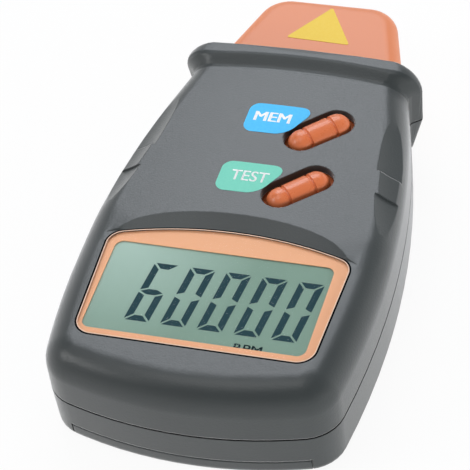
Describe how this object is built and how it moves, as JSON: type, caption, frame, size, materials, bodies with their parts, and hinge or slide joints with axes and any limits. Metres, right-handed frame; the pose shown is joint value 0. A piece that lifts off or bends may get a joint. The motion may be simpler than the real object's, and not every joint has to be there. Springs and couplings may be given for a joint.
{
  "type": "laser tachometer",
  "caption": "Hand-held laser tachometer with an arched display face, slanted push buttons, finger scoops, an optical nose and a sliding battery door.",
  "frame": {"origin": "under the middle of the whole object, on the plane of its flat back", "axes": "+Y from the display end to the nose, +Z from the back to the display, +X to the right when read"},
  "size_m": [0.07, 0.131, 0.029],
  "materials": {
    "case_grey": "fine-grained dark grey moulding",
    "nose_orange": "satin orange moulding",
    "clear_lens": "clear polished window",
    "mask_orange": "orange print under the window",
    "lcd_glass": "grey-green reflective display",
    "holder_white": "plain white moulding",
    "contact_rubber": "layered contact rubber",
    "board_green": "green solder resist",
    "black_plastic": "black moulded plastic",
    "bare_steel": "plated steel",
    "plunger_red": "moulded plastic",
    "button_orange": "glossy orange moulding",
    "laser_brass": "turned brass",
    "laser_glass": "clear polished lens",
    "receiver_red": "dark red filter lens",
    "battery_case": "plain metal jacket",
    "lead_red": "red insulation",
    "lead_black": "black insulation"
  },
  "bodies": {
    "housing": {"front_shell": "case_grey", "rear_shell": "case_grey", "nose_cap": "nose_orange", "display_lens": "clear_lens", "display_mask": "mask_orange", "lcd_panel": "lcd_glass", "lcd_holder": "holder_white", "zebra_strips": "contact_rubber", "main_board": "board_green", "controller_chip": "black_plastic", "crystal": "bare_steel", "mem_switch": "black_plastic", "test_switch": "black_plastic", "sensor_board": "board_green", "laser_module": "laser_brass", "laser_lens": "laser_glass", "receiver_lens": "receiver_red", "photodiode": "black_plastic", "battery": "battery_case", "battery_snap": "black_plastic", "red_lead": "lead_red", "black_lead": "lead_black", "case_screws": "bare_steel", "board_screws": "bare_steel"},
    "mem_key": {"mem_button": "button_orange", "mem_plunger": "plunger_red"},
    "test_key": {"test_button": "button_orange", "test_plunger": "plunger_red"},
    "door": {"battery_door": "case_grey"}
  },
  "joints": [
    {"name": "mem_press", "type": "slide", "parent": "housing", "child": "mem_key", "axis": [0, 0, -1], "range_m": [0, 0.0005], "stiffness_N_per_m": 2000},
    {"name": "test_press", "type": "slide", "parent": "housing", "child": "test_key", "axis": [0, 0, -1], "range_m": [0, 0.0005], "stiffness_N_per_m": 2000},
    {"name": "door_slide", "type": "slide", "parent": "housing", "child": "door", "axis": [0, -1, 0], "range_m": [0, 0.036]}
  ]
}
